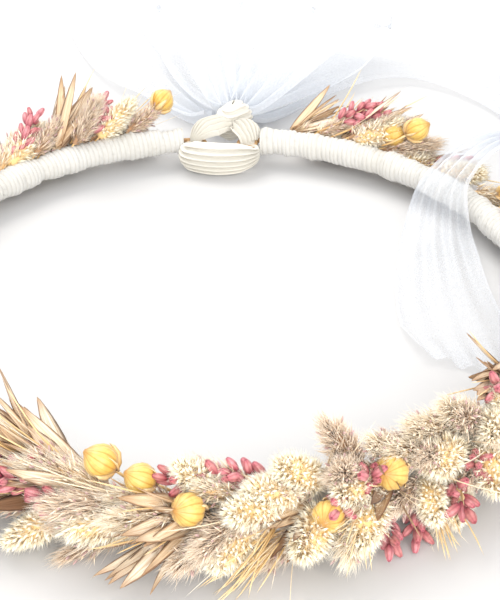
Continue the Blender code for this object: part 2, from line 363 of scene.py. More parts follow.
yarn_material = plain_material("white_cotton_yarn", (0.9, 0.88, 0.84), 0.85)
yarn_tree = yarn_material.node_tree
yarn_place = own_place(yarn_tree)
yarn_fibre = noise_of(yarn_tree, 2600, 4, yarn_place)
yarn_patch = noise_of(yarn_tree, 60, 2, yarn_place)
# Painted shade: the yarn is darker in the grooves between the strand's turns, where strand is low.
yarn_groove_shade = ramp_of(yarn_tree, "strand", (0.0, (0.80, 0.77, 0.71)), (0.35, (1, 1, 1)))
yarn_tone = ramp_of(yarn_tree, yarn_patch, (0.3, (0.57, 0.56, 0.53)), (0.7, (0.62, 0.615, 0.60)))
yarn_colour = mixed(yarn_tree, yarn_tone, yarn_groove_shade)
finish_with(yarn_material, yarn_colour, yarn_fibre, 0.5, 0.0002, sheen_weight=0.3)

fuzz_count = 5200
fuzz_draw = np.random.default_rng(12)
fuzz_angle = fuzz_draw.uniform(*winding_ends, fuzz_count)
fuzz_turn = fuzz_draw.uniform(0, 2 * math.pi, fuzz_count)
fuzz_foot, _ = winding_points(fuzz_angle, fuzz_turn)
fuzz_out = unit(fuzz_foot - winding_points(fuzz_angle, fuzz_turn + math.pi)[0])
fuzz_way = unit(fuzz_out * 0.8 + fuzz_draw.normal(0, 0.7, (fuzz_count, 3)))
fuzz_size = fuzz_draw.uniform(0.0006, 0.0017, (fuzz_count, 1))
fuzz_end = fuzz_foot + fuzz_way * fuzz_size + fuzz_draw.normal(0, 0.0003, (fuzz_count, 3))
fuzz_paths = np.stack([fuzz_foot - fuzz_out * 0.0002, fuzz_foot + fuzz_way * fuzz_size * 0.5, fuzz_end], 1)
fuzz_radius = 0.000045
fuzz_shape = strands(fuzz_paths, fuzz_radius, 3, {"strand": np.ones(fuzz_count)})
yarn_shape = joined([(winding_shape, 0), (fuzz_shape, 0)])
yarn = add_piece("yarn_winding", yarn_shape, [yarn_material])
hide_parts("yarn_wrap_left", "yarn_wrap_right")
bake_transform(yarn)

# ---------------------------------------------------------------------------------------
# Bunny tails: bleached hare's-tail grass, soft eggs of 180 little tufts whose pale hairs stand
# out at the foot and close towards the tip. Each is bound by its stalk.


def square_to(axis):
    """Two directions at right angles to an axis and to each other."""
    side = unit(np.cross(axis, [0.31, 0.23, 0.92]))
    return side, np.cross(axis, side)


def spokes_of(axis, turn):
    """Directions square to one axis, at these turns round it."""
    return swung(turn, *square_to(axis))


golden_angle = 2.39996


def turned_bodies(roots, axes, lengths, radii, outline, sides, values, ribs=0, rib_depth=0.0, tip_share=None):
    """Closed bodies turned round their axes through (share of length, share of radius) pairs,
    fluted as 1 + depth * cos(ribs * turn), with a pole at each end. A tip_share sets the last
    pole back into the body, as the bottom of an open mouth."""
    count = len(roots)
    side, up = square_to(axes)
    shares, widths = np.array(outline).T
    turn = np.arange(sides) / sides * 2 * math.pi
    flute = 1 + rib_depth * np.cos(ribs * turn)
    spokes = swung(turn, side[:, None], up[:, None])
    reach = widths[None, :, None] * flute[None, None] * np.asarray(radii)[:, None, None]
    lengths = np.asarray(lengths)
    rings = (roots[:, None] + axes[:, None] * (shares[None] * lengths[:, None])[..., None])[:, :, None]
    rings = rings + reach[..., None] * spokes[:, None]
    end_share = shares[-1] if tip_share is None else tip_share
    tips = roots + axes * (end_share * lengths)[:, None]
    rows = len(shares)
    points = np.concatenate([rings.reshape(count, -1, 3), roots[:, None], tips[:, None]], 1)
    mouth = 0.0 if tip_share is None else 1.0
    shared = {
        "along": np.append(np.repeat(shares, sides), [0.0, end_share]),
        "crest": np.append(np.tile(np.cos(ribs * turn) * 0.5 + 0.5, rows), [0.5, 0.5]),
        "inside": np.append(np.zeros(rows * sides + 1), mouth),
    }
    return many(points, grid_quads(rows, sides), pole_tris(rows, sides), shared, values)


def seat_of(node):
    """Root, direction and length of a bound head, read from its CAD solid: the root is the
    point nearest the ring's circle and the tip the point farthest from the root."""
    mesh = frame["nodes"][node].data
    co = np.zeros(len(mesh.vertices) * 3)
    mesh.vertices.foreach_get("co", co)
    co = co.reshape(-1, 3)
    level = (co - ring_middle) * [1, 1, 0]
    root = co[np.argmin(np.linalg.norm(co - ring_middle - unit(level) * ring_radius, axis=1))]
    tip = co[np.argmax(np.linalg.norm(co - root, axis=1))]
    return root, unit(tip - root), np.linalg.norm(tip - root)


def seat_at(angle, clock, lean, reach=0.0052):
    """Root and direction of a head bound at a ring angle and clock angle, leaning clockwise
    from straight out: direction = cos lean * out - sin lean * counter-clockwise."""
    a, c, tilt = math.radians(angle), math.radians(clock), math.radians(lean)
    outward = np.array([math.cos(a), math.sin(a), 0])
    along = np.array([-math.sin(a), math.cos(a), 0])
    off = math.cos(c) * outward + np.array([0, 0, math.sin(c)])
    return ring_middle + outward * ring_radius + off * reach, math.cos(tilt) * off - math.sin(tilt) * along


def brush_head(root, axis, length, core, clumps, each, hair, width, opening, curl, loose, tuft, seed):
    """A hairy head. Tufts stand by the golden angle on an egg-shaped core of radius
    core * sin(pi * (0.07 + 0.92 * place)) to the power 0.55. A tuft leans out from the axis by
    opening + 12 degrees at the foot and 12 at the tip; its hairs fan apart by loose and bend by
    curl. Inside each tuft stands a husk of half width tuft, a spindle as long as 0.8 of a hair."""
    draw = np.random.default_rng(seed)
    place = np.repeat(((np.arange(clumps) + 0.5) / clumps) ** 0.92, each)
    turn = np.repeat(np.arange(clumps) * golden_angle, each)
    count = clumps * each
    spoke = spokes_of(axis, turn)
    bow = unit(draw.normal(0, 1, 3)) * length * 0.09
    core_at = core * np.sin(math.pi * (0.07 + 0.92 * place)) ** 0.55
    spine = root + axis * (0.06 + 0.86 * place)[:, None] * length + bow * (place * (place - 0.2))[:, None]
    roots = spine + spoke * (core_at * 0.75)[:, None] + draw.normal(0, hair * 0.05, (count, 3))
    lean = np.radians(opening * (1 - place) ** 0.6 + 12)
    tuft_turn = np.repeat(draw.normal(0, 0.14, (clumps, 3)), each, 0)
    way = unit(swung(lean, axis, spoke) + tuft_turn + draw.normal(0, loose, (count, 3)))
    size = (hair * draw.uniform(0.65, 1.12, count) * (1 - 0.25 * place))[:, None]
    tone = draw.uniform(0.4, 0.62)
    tint = np.clip(tone + np.repeat(draw.normal(0, 0.17, clumps), each) + draw.normal(0, 0.1, count), 0, 1)
    if curl:
        bend = (axis - spoke * 0.6) * curl * size + draw.normal(0, 0.06, (count, 3)) * size
        paths = np.stack([roots, roots + way * 0.5 * size + bend * 0.2, roots + way * size + bend], 1)
    else:
        paths = np.stack([roots, roots + way * size], 1)
    hairs = strands(paths, width * np.array([1.0, 0.7])[: paths.shape[1] - 1], 3, {"tint": tint})
    shares = np.array([0.02, 0.15, 0.35, 0.6, 0.8, 0.97])
    egg = np.stack([shares, np.sin(math.pi * (0.07 + 0.86 * shares)) ** 0.55], 1)
    # Painted shade: the heart inside the hairs takes the hairs' root colour and a darker tint.
    heart = turned_bodies(
        root[None], axis[None], [length * 0.82], [core * 0.8], egg, 10, {"tint": [tone * 0.8]})
    heart["values"]["along"] = heart["values"]["along"] * 0
    steps = np.array([0.0, 0.35, 0.8])[None, :, None]
    spindles = roots[::each, None] + way[::each, None] * size[::each, None] * steps
    husks = strands(spindles, tuft * np.array([0.7, 1.0]), 4, {"tint": tint[::each]})
    return [(hairs, 0), (heart, 0), (husks, 0)]


def stalk(root, axis, length, radius, seed):
    """A thin stalk along a head's axis, a little bent: 0.35 of it lies behind the head's root."""
    draw = np.random.default_rng(seed)
    share = np.linspace(0, 1, 6)[None, :, None]
    sag = draw.normal(0, 0.12, 3)
    paths = root - axis * 0.35 * length + (axis * length) * share + sag * length * (share * (1 - share))
    return strands(paths, radius, 5, {"tint": draw.uniform(0.3, 0.8, 1)})


table_gap = 0.0016


def rested(shape):
    """Bends what would go under the table along it: below 1.6 mm, height h becomes
    1.6 mm * exp(h / 1.6 mm - 1)."""
    height = shape["points"][:, 2]
    low = table_gap * np.exp(np.minimum(height / table_gap, 1) - 1)
    shape["points"][:, 2] = np.where(height < table_gap, low, height)
    return shape


bodies_of = {node: body for body, names in frame["record"]["behaviour"]["bodies"].items() for node in names}


def bind_between(name, build, materials, seed, places):
    """Heads bound between the nodes, given as (ring angle, clock angle, lean, length) and
    gathered by twelfths of the ring."""
    twelfths = {}
    for order, (angle, clock, lean, length) in enumerate(places):
        root, axis = seat_at(angle, clock, lean)
        twelfths.setdefault(int((angle + 270) // 30), []).extend(build(root, axis, length, seed + order))
    for twelfth, parts in sorted(twelfths.items()):
        body = "left_half" if twelfth < 6 else "right_half"
        add_piece(f"{name}_{twelfth}", rested(joined(parts)), materials, body)


def bind_heads(kind, label, build, materials, seed, places):
    """All heads of one kind: a piece for each bound node, and the heads bound between them."""
    nodes = sorted(name for name in frame["nodes"] if name.startswith(kind))
    for order, node in enumerate(nodes):
        head = rested(joined(build(*seat_of(node), seed + order)))
        add_piece(f"{node}_{label}", head, materials, bodies_of[node], [node])
    bind_between(f"{kind}_between", build, materials, seed + 100, places)


def round_ring(first, step, clocks, lean, length, seed):
    """Places for heads all round the ring, clockwise from first degrees, each a little off:
    the clock angles repeat, higher in front than at the back, and nothing stands where the
    ribbon's right tail climbs over or beside the gap."""
    draw = np.random.default_rng(seed)
    places = []
    for order, angle in enumerate(np.arange(first, -248, -step)):
        clock = clocks[order % len(clocks)] * (1 - 0.22 * math.sin(math.radians(angle)))
        jitter = draw.normal(0, 1, 4)
        under_ribbon = 24 < angle < 50 and clock > 20
        if not under_ribbon:
            spot = angle + jitter[0] * 0.8, clock + jitter[1] * 5, lean + jitter[2] * 6
            places.append((*spot, length * (1 + 0.1 * jitter[3])))
    return places


def outside(low, high, places):
    """The places whose ring angle isn't between low and high, where the front's own heads are."""
    return [place for place in places if not low < place[0] < high]


dried_plant = bpy.data.node_groups.new("dried_plant", "ShaderNodeTree")
dried_sockets = (
    ("Colour", "INPUT", "NodeSocketColor"), ("Speckle Scale", "INPUT", "NodeSocketFloat"),
    ("Speckle Depth", "INPUT", "NodeSocketFloat"), ("Colour", "OUTPUT", "NodeSocketColor"),
    ("Height", "OUTPUT", "NodeSocketFloat"),
)
for socket_name, way_round, socket_type in dried_sockets:
    dried_plant.interface.new_socket(socket_name, in_out=way_round, socket_type=socket_type)
dried_in = node_of(dried_plant, "NodeGroupInput").outputs
dried_out = node_of(dried_plant, "NodeGroupOutput").inputs
dried_noise = node_of(dried_plant, "ShaderNodeTexNoise")
dried_noise.inputs["Detail"].default_value = 3
dried_plant.links.new(own_place(dried_plant), dried_noise.inputs["Vector"])
dried_plant.links.new(dried_in["Speckle Scale"], dried_noise.inputs["Scale"])
speckle = ramp_of(dried_plant, dried_noise.outputs["Fac"], (0.3, (0.55, 0.46, 0.36)), (0.6, (1, 1, 1)))
dried_tint = ramp_of(
    dried_plant, "tint", (0.0, (0.78, 0.70, 0.60)), (0.4, (0.97, 0.95, 0.92)), (1.0, (1, 1, 1)))
speckled = mixed(dried_plant, dried_in["Colour"], speckle, dried_in["Speckle Depth"])
dried_plant.links.new(mixed(dried_plant, speckled, dried_tint), dried_out["Colour"])
dried_plant.links.new(dried_noise.outputs["Fac"], dried_out["Height"])


def dried_material(name, stops, roughness=0.7, speckle=(1300, 0.3), across=None, inside=None, sheen=0.2):
    """Dried plant matter: coloured from root to tip by stops, darkened by across, which is
    (point value, *stops), and by the speckles and tints of the shared group; where the value
    inside is 1, the colour inside shows."""
    made = plain_material(name, stops[-1][1], roughness)
    tree = made.node_tree
    colour = ramp_of(tree, "along", *stops)
    if across:
        colour = mixed(tree, colour, ramp_of(tree, *across))
    if inside:
        colour = mixed(tree, colour, inside, value_of(tree, "inside"), "MIX")
    plant = node_of(tree, "ShaderNodeGroup", node_tree=dried_plant)
    tree.links.new(colour, plant.inputs["Colour"])
    plant.inputs["Speckle Scale"].default_value = speckle[0]
    plant.inputs["Speckle Depth"].default_value = speckle[1]
    return finish_with(made, plant.outputs["Colour"], plant.outputs["Height"], 0.4, sheen_weight=sheen)


# The hairs are darker and more golden towards the root: partly the grass's own colour, partly painted shade
# of the head's inside.
cream_hair = dried_material(
    "bleached_cream_hair",
    ((0.0, (0.92, 0.68, 0.33)), (0.3, (1.0, 0.90, 0.66)), (0.8, (1.0, 0.975, 0.88))), 0.75, (500, 0.05),
)
straw_material = dried_material(
    "golden_straw", ((0.0, (0.66, 0.40, 0.15)), (0.5, (0.82, 0.58, 0.27)), (1.0, (0.90, 0.72, 0.44))), 0.45,
)
tail_core, tail_hair, tail_width, tail_tuft = 0.0042, 0.0042, 0.00010, 0.00038
stalk_radius = 0.0004


def bunny_tail(root, axis, length, seed):
    """One bunny tail on its stalk; its width keeps to its length."""
    plump = min(length / 0.021, 1.15)
    head = brush_head(
        root, axis, length * 0.92, core=tail_core * plump, clumps=180, each=9, hair=tail_hair * plump,
        width=tail_width, opening=64, curl=0, loose=0.24, tuft=tail_tuft, seed=seed)
    return head + [(stalk(root, axis, length * 0.5, stalk_radius, seed), 1)]


front_tails = [
    (-42, 42, 56, 0.025), (-47, 16, 42, 0.025), (-52, 46, 58, 0.023), (-58, 2, 35, 0.018),
    (-66, 42, 50, 0.021), (-66, 8, 45, 0.023), (-74, 6, 32, 0.023), (-77, 60, 62, 0.021),
    (-80, 38, 55, 0.021), (-84, -2, 34, 0.022), (-99, 12, 58, 0.024), (-37, 66, 58, 0.022),
    (-127, 22, 60, 0.021), (-244, 62, 56, 0.020),
]
side_tails = outside(-140, -36, round_ring(71, 9.5, (20, 56, -12), 56, 0.021, 31))
bind_heads("bunny_tail", "head", bunny_tail, [cream_hair, straw_material], 1000, front_tails + side_tails)

# ---------------------------------------------------------------------------------------
# Grass plumes: soft greige and taupe heads with long silky hairs that sweep forward, over
# small mauve seeds that show between them. The shorter ones make the garland's dense bed.
plume_core, plume_hair, plume_width, plume_tuft = 0.0024, 0.0075, 0.00009, 0.00026
# Both hair finishes darken towards the root: partly the grass's own colour, partly painted shade inside and
# between the heads.
taupe_hair = dried_material(
    "taupe_grass_hair",
    ((0.0, (0.46, 0.27, 0.15)), (0.35, (0.80, 0.61, 0.44)), (0.9, (0.98, 0.89, 0.78))),
    0.8, (500, 0.1), sheen=0.3,
)
pale_hair = dried_material(
    "pale_grass_hair",
    ((0.0, (0.80, 0.56, 0.30)), (0.4, (0.97, 0.83, 0.62)), (0.9, (1.0, 0.96, 0.87))),
    0.8, (500, 0.08), sheen=0.3,
)
mauve_seed = dried_material("mauve_seed", ((0.0, (0.40, 0.24, 0.24)), (1.0, (0.60, 0.42, 0.43))), 0.7)
seed_outline = ((0.1, 0.55), (0.4, 1.0), (0.75, 0.7), (0.95, 0.25))
seed_radius = 0.00034
short_head = 0.0225


def grass_plume(root, axis, length, seed):
    """One plume: long hairs on a thin core, with seeds among them. A short plume has fewer hairs,
    and three plumes in ten are pale."""
    draw = np.random.default_rng(seed + 1)
    plump = length / 0.026
    clumps = 90 if length > short_head else 50
    head = brush_head(
        root, axis, length * 0.84, core=plume_core * plump, clumps=clumps, each=10, hair=plume_hair * plump,
        width=plume_width, opening=40, curl=0.30, loose=0.2, tuft=plume_tuft, seed=seed)
    count = 26
    place = ((np.arange(count) + 0.5) / count)[:, None]
    spoke = spokes_of(axis, np.arange(count) * golden_angle)
    roots = root + axis * (0.08 + 0.68 * place) * length + spoke * plume_core * plump
    ways = unit(axis + spoke * draw.uniform(0.4, 1.2, (count, 1)))
    sizes = draw.uniform(0.0013, 0.0024, count)
    seeds = turned_bodies(
        roots + ways * 0.0007, ways, sizes, np.full(count, seed_radius), seed_outline, 5,
        {"tint": draw.uniform(0.2, 0.9, count)})
    tone = 3 if draw.uniform() < 0.3 else 0
    head = [(shape, tone) for shape, _ in head]
    return head + [(seeds, 2), (stalk(root, axis, length * 0.5, stalk_radius, seed), 1)]


front_plumes = [
    (-50, 88, 58, 0.027), (-45, 82, 55, 0.026), (-56, 66, 58, 0.025), (-68, 84, 26, 0.025),
    (-70, 58, 22, 0.023), (-69, 0, 36, 0.025), (-84, 14, 46, 0.026), (-87, 0, 38, 0.024),
    (-92, 30, 52, 0.026), (-99, 34, 58, 0.027), (-103, 62, 60, 0.027), (-116, 40, 62, 0.027),
    (-131, 50, 60, 0.028), (-139, 84, 62, 0.028), (-121, 8, 60, 0.025), (-250, 56, 62, 0.019),
    (-249, 22, 64, 0.018), (-238, 84, 40, 0.023),
]
bed_plumes = round_ring(76, 5.2, (8, 48), 60, 0.021, 41) + round_ring(73, 8.2, (-22, 72, 28), 58, 0.022, 42)
plume_finishes = [taupe_hair, straw_material, mauve_seed, pale_hair]
bind_heads("grass_plume", "head", grass_plume, plume_finishes, 2000, front_plumes + bed_plumes)

# ---------------------------------------------------------------------------------------
# Pink buds: dyed dried sprigs, each with a dozen or so smooth, faintly ribbed buds with open mouths, set
# round a thin stem. The mouths are painted dark red, and the buds' feet and the grooves between their ribs
# darker, as shade.
bud_length, bud_radius = 0.0056, 0.00120
# Painted shade: near black-red at the bud's foot, dark red inside the mouth and darker in the grooves between
# the ribs.
pink_material = dried_material(
    "dyed_pink_bud",
    (
        (0.0, (0.24, 0.02, 0.05)), (0.25, (0.50, 0.12, 0.17)),
        (0.7, (0.72, 0.31, 0.34)), (1.0, (0.56, 0.15, 0.20)),
    ),
    0.55, (1500, 0.35), ("crest", (0.0, (0.66, 0.55, 0.56)), (0.6, (1, 1, 1))), (0.20, 0.01, 0.03), 0.1,
)
bud_outline = ((0.04, 0.30), (0.20, 0.72), (0.45, 1.0), (0.70, 0.92), (0.92, 0.60), (1.0, 0.34))


def bud_sprig(root, axis, length, seed):
    """A sprig of buds: rooted from 0.24 to 0.76 of its length, at the golden angle, and leaning
    out by 20 to 58 degrees, but for the last one, which points ahead."""
    draw = np.random.default_rng(seed)
    count = max(int(length / 0.0016), 6)
    turn = np.arange(count) * golden_angle + draw.uniform(0, 6)
    place = np.linspace(0.24, 0.76, count)[:, None]
    spoke = spokes_of(axis, turn)
    lean = np.radians(draw.uniform(20, 58, count))
    lean[-1] = 0.1
    ways = unit(swung(lean, axis, spoke) + draw.normal(0, 0.06, (count, 3)))
    roots = root + axis * place * length + spoke * 0.0006
    sizes = draw.uniform(0.75, 1.08, count)
    buds = turned_bodies(
        roots, ways, bud_length * sizes, bud_radius * sizes, bud_outline, 10,
        {"tint": draw.uniform(0.1, 1, count)}, ribs=5, rib_depth=0.10, tip_share=0.84)
    stem = stalk(root + axis * 0.2 * length, axis, length * 0.85, 0.00035, seed)
    return [(buds, 0), (stem, 1)]


front_buds = [
    (-70, 30, 36, 0.017), (-66, 50, 30, 0.016), (-60, -20, 30, 0.017), (-54, 2, 30, 0.020),
    (-42, 14, 46, 0.027), (-88, 76, 58, 0.019), (-82, 82, 62, 0.020), (-79, 90, 64, 0.018),
    (-104, 34, 52, 0.020), (-108, 62, 52, 0.018), (-113, 58, 54, 0.025), (-65, -14, 22, 0.017),
    (-50, 24, 36, 0.016), (-118, 70, 56, 0.025), (-124, 60, 56, 0.025), (-109, 40, 52, 0.025),
]
side_buds = outside(-128, -36, round_ring(67, 17, (66, 4, 40), 54, 0.021, 51))
bind_heads("pink_buds", "sprig", bud_sprig, [pink_material, straw_material], 3000, front_buds + side_buds)

# ---------------------------------------------------------------------------------------
# Flax pods: round golden seed capsules with ten fine ribs and a short beak, each held by
# five narrow sepals on a wiry stalk.
pod_radius, pod_length = 0.0042, 0.0098
pod_material = dried_material(
    "golden_flax_pod",
    (
        (0.0, (0.50, 0.26, 0.05)), (0.3, (0.70, 0.46, 0.10)),
        (0.75, (0.78, 0.56, 0.17)), (0.97, (0.48, 0.24, 0.06)),
    ),
    0.4, (900, 0.3),
    ("crest", (0.0, (0.76, 0.58, 0.34)), (0.3, (1, 1, 1)), (0.88, (1, 1, 1)), (1.0, (0.90, 0.80, 0.6))),
)
pod_outline = (
    (0.0, 0.12), (0.04, 0.36), (0.12, 0.64), (0.24, 0.87), (0.38, 0.99), (0.5, 1.0), (0.62, 0.92),
    (0.73, 0.74), (0.82, 0.5), (0.89, 0.27), (0.95, 0.12),
)


def flax_pod(root, axis, length, seed):
    """One capsule at the end of its stalk, with five sepals: out and up along it by fixed shares."""
    draw = np.random.default_rng(seed)
    stem_length = max(length - pod_length, 0.002)
    foot = root + axis * stem_length
    size = draw.uniform(0.9, 1.02)
    pod = turned_bodies(
        foot[None], axis[None], [pod_length * size], [pod_radius * size], pod_outline, 40,
        {"tint": draw.uniform(0.4, 1, 1)}, ribs=10, rib_depth=0.03)
    spoke = spokes_of(axis, np.arange(5) / 5 * 2 * math.pi + draw.uniform(0, 1))
    bow = np.array([0.0, 0.42, 0.86, 1.08, 1.12])[None, :, None] * pod_radius * size
    rise = np.array([-0.04, 0.02, 0.16, 0.34, 0.5])[None, :, None] * pod_length * size
    paths = foot + spoke[:, None] * bow + axis * rise
    sepal_radii = np.array([0.0005, 0.0009, 0.0009, 0.0005])
    sepals = strands(paths, sepal_radii, 4, {"tint": draw.uniform(0.3, 0.9, 5)}, 0.3)
    stem = stalk(root + axis * 0.3 * stem_length, axis, max(stem_length, 0.004) * 1.5, stalk_radius, seed)
    return [(pod, 0), (sepals, 1), (stem, 1)]


front_pods = [(-94, 70, 50, 0.017), (-88, 40, 40, 0.018), (-72, 22, 34, 0.016), (-61, 50, 44, 0.019)]
side_pods = outside(-128, -36, round_ring(60, 27, (60, 22), 50, 0.018, 61))
bind_heads("flax_pods", "capsule", flax_pod, [pod_material, straw_material], 4000, front_pods + side_pods)

# ---------------------------------------------------------------------------------------
# Husk fans: papery blades, folded along the middle and curling back, cream inside and
# brown at the edges, spread like a hand of cards with a few golden straws.


def vector_of(tree, *parts):
    """A vector put together from sockets for X, Y and Z."""
    made = node_of(tree, "ShaderNodeCombineXYZ")
    for name, part in zip("XYZ", parts):
        tree.links.new(part, made.inputs[name])
    return made.outputs["Vector"]


def math_of(tree, operation, first, second=0.5):
    """A sum on one socket, such as its absolute value or its product with a number."""
    made = node_of(tree, "ShaderNodeMath", operation=operation)
    tree.links.new(first, made.inputs[0])
    made.inputs[1].default_value = second
    return made.outputs["Value"]


husk_material = plain_material("papery_husk", (0.8, 0.68, 0.52), 0.6)
husk_tree = husk_material.node_tree
husk_across = value_of(husk_tree, "across")
vein_length = math_of(husk_tree, "MULTIPLY", value_of(husk_tree, "along"), 0.12)
vein_place = vector_of(husk_tree, husk_across, vein_length, value_of(husk_tree, "tint"))
veins = noise_of(husk_tree, 9, 4, vein_place)
husk_veined = ramp_of(
    husk_tree, veins, (0.30, (0.60, 0.44, 0.29)), (0.46, (0.86, 0.75, 0.60)), (0.7, (0.98, 0.93, 0.83)))
husk_edges = ramp_of(
    husk_tree, math_of(husk_tree, "ABSOLUTE", husk_across),
    (0.0, (0.88, 0.80, 0.70)), (0.15, (1, 1, 1)), (0.62, (1, 0.97, 0.92)), (0.94, (0.38, 0.22, 0.12)),
)
husk_shade = ramp_of(
    husk_tree, "tint",
    (0.0, (0.26, 0.16, 0.10)), (0.2, (0.56, 0.42, 0.30)), (0.45, (0.90, 0.80, 0.68)), (1.0, (1, 1, 1)),
)
husk_ends = ramp_of(
    husk_tree, "along",
    (0.0, (0.70, 0.58, 0.45)), (0.25, (1, 1, 1)), (0.74, (1, 1, 1)), (1.0, (0.50, 0.34, 0.22)),
)
husk_marks = mixed(husk_tree, husk_veined, husk_edges)
husk_colour = mixed(husk_tree, husk_marks, mixed(husk_tree, husk_ends, husk_shade))
finish_with(husk_material, husk_colour, veins, 0.6, 0.0004, sheen_weight=0.15)
blade_rows = 7
blade_across = np.array([-1, -0.5, 0, 0.5, 1, 0.5, 0, -0.5])
blade_sides = len(blade_across)
blade_layer = np.array([0, 1, 1, 1, 0, -1, -1, -1]) * 0.00012
blade_fold = 0.25


def blades(roots, ways, faces_up, lengths, widths, curls, tints):
    """Papery blades. Across, a closed band of eight points at u, folded up by
    blade_fold * half width * |u|^1.3; along, half width = 1.9 * width * (s + 0.06)^0.5 * (1 - s)^0.8,
    bent by curl * length * s squared."""
    count = len(roots)
    s = np.linspace(0.03, 0.95, blade_rows)
    side = unit(np.cross(ways, faces_up))
    up = np.cross(side, ways)
    spine = roots[:, None] + ways[:, None] * (s[None] * lengths[:, None])[..., None]
    spine = spine + up[:, None] * (curls[:, None] * lengths[:, None] * s[None] ** 2)[..., None]
    half = (1.9 * widths[:, None] * ((s + 0.06) ** 0.5 * (1 - s) ** 0.8)[None])[..., None]
    wide = half * blade_across
    high = blade_fold * half * np.abs(blade_across) ** 1.3 + blade_layer
    rings = spine[:, :, None] + side[:, None, None] * wide[..., None] + up[:, None, None] * high[..., None]
    tips = roots + ways * lengths[:, None] + up * (curls * lengths)[:, None]
    points = np.concatenate([rings.reshape(count, -1, 3), roots[:, None], tips[:, None]], 1)
    shared = {
        "along": np.append(np.repeat(s, blade_sides), [0, 1]),
        "across": np.append(np.tile(blade_across, blade_rows), [0, 0]),
    }
    quads = grid_quads(blade_rows, blade_sides)[:, ::-1]
    tris = pole_tris(blade_rows, blade_sides)[:, ::-1]
    return many(points, quads, tris, shared, {"tint": tints})


def straw_spray(root, axis, length, count, seed, spread=16, radius=0.00032):
    """Thin stalks that part from one root: root + way * s + bend * s squared."""
    draw = np.random.default_rng(seed)
    lean = np.radians(np.abs(draw.normal(0, spread * 0.7, count)))
    ways = swung(lean, axis, spokes_of(axis, draw.uniform(0, 2 * math.pi, count)))
    s = np.linspace(0, 1, 8)[None, :, None]
    sizes = (length * draw.uniform(0.7, 1.15, count))[:, None, None]
    paths = root + ways[:, None] * s * sizes + draw.normal(0, 0.10, (count, 1, 3)) * sizes * s**2
    return strands(paths, radius * np.linspace(1.0, 0.55, 7), 5, {"tint": draw.uniform(0.1, 1, count)})


def husk_fan(root, axis, length, seed):
    """A fan of blades turned apart in the plane nearest level, with a few golden straws. Short
    fans and one long fan in eight are dark brown."""
    draw = np.random.default_rng(seed)
    level = unit(np.array([0, 0, 1]) - axis * axis[2])
    side = np.cross(axis, level)
    count = 12
    turn = np.radians(np.linspace(-27, 27, count) + draw.normal(0, 4, count))
    lift = np.tan(np.radians(draw.uniform(-18, 22, (count, 1))))
    ways = unit(swung(turn, axis, side) + lift * level)
    ups = unit(level + side * draw.normal(0, 0.6, (count, 1)) + draw.normal(0, 0.1, (count, 3)))
    darkest, palest = (0.0, 0.38) if length < short_head or draw.uniform() < 0.12 else (0.36, 1.0)
    roots = root + draw.normal(0, 0.0008, (count, 3))
    widths = length * 0.115 * draw.uniform(0.55, 1.2, count)
    lengths = length * draw.uniform(0.72, 1.06, count)
    curls = draw.uniform(-0.12, 0.16, count)
    fan = blades(roots, ways, ups, lengths, widths, curls, draw.uniform(darkest, palest, count))
    return [(fan, 0), (straw_spray(root, axis, length * 1.02, 5, seed + 1, 22), 1)]


front_fans = [
    (-110, 80, 64, 0.026), (-106, 64, 62, 0.026), (-112, 16, 60, 0.021), (-33, 96, 60, 0.026),
    (-64, 40, 52, 0.021), (-90, 30, 56, 0.027), (-124, 84, 62, 0.027), (-136, 30, 60, 0.027),
    (-120, 14, 60, 0.022), (-116, 2, 58, 0.022), (-76, 14, 44, 0.018),
]
side_fans = outside(-134, -36, round_ring(64, 15, (40, -6, 62), 56, 0.027, 71))
bind_heads("husk_fan", "blades", husk_fan, [husk_material, straw_material], 5000, front_fans + side_fans)

# ---------------------------------------------------------------------------------------
# Straw bunches: golden stalks and thin pale awns bound in a narrow sheaf. Pairs of long awns
# also cross the garland in front, each with a brown twig.


def straw_sheaf(root, axis, length, seed):
    """Sixteen stalks and six awns from one root."""
    stalks = straw_spray(root, axis, length, 16, seed, 17)
    return [(stalks, 0), (straw_spray(root, axis, length * 1.2, 6, seed + 40, 20, 0.00014), 1)]


pale_awn = dried_material("pale_awn", ((0.0, (0.80, 0.62, 0.38)), (1.0, (0.95, 0.88, 0.74))), 0.5)
front_straws = [(-80, 0, 40, 0.024), (-68, 10, 30, 0.023), (-58, -10, 20, 0.021), (-107, 74, 62, 0.026)]
side_straws = outside(-120, -36, round_ring(69, 21, (30, 60, 0), 52, 0.025, 81))


def lone_awns(root, axis, length, seed):
    """Two long pale awns that arc apart over the garland, and a brown twig beside them."""
    awns = straw_spray(root, axis, length, 2, seed, 14, 0.00020)
    return [(awns, 1), (straw_spray(root, axis, length * 0.55, 1, seed + 9, 30, 0.00034), 2)]


twig_brown = dried_material("brown_twig", ((0.0, (0.20, 0.11, 0.06)), (1.0, (0.50, 0.34, 0.20))), 0.5)
front_awns = [
    (-71, 40, 20, 0.036), (-64, 24, 16, 0.036), (-50, 44, 34, 0.036), (-97, 48, 50, 0.034),
    (-73, 72, -20, 0.022), (-74, 78, -8, 0.020), (-117, 60, 62, 0.034), (-84, 26, 30, 0.034),
    (-58, 34, 10, 0.034),
]
awn_finishes = [straw_material, pale_awn, twig_brown]
bind_between("long_awns", lone_awns, awn_finishes, 7000, front_awns)
bind_heads("straw_bunch", "sheaf", straw_sheaf, [straw_material, pale_awn], 6000, front_straws + side_straws)

# ---------------------------------------------------------------------------------------
# Organza ribbon: one sheer white ribbon, 32 to 37 mm wide, painted a darker bluish grey as shade. Its two
# tails lie on the table behind the ring, and the right one runs round, gathers over the winding and spreads
# out again inside the ring.
ribbon_width = 0.032


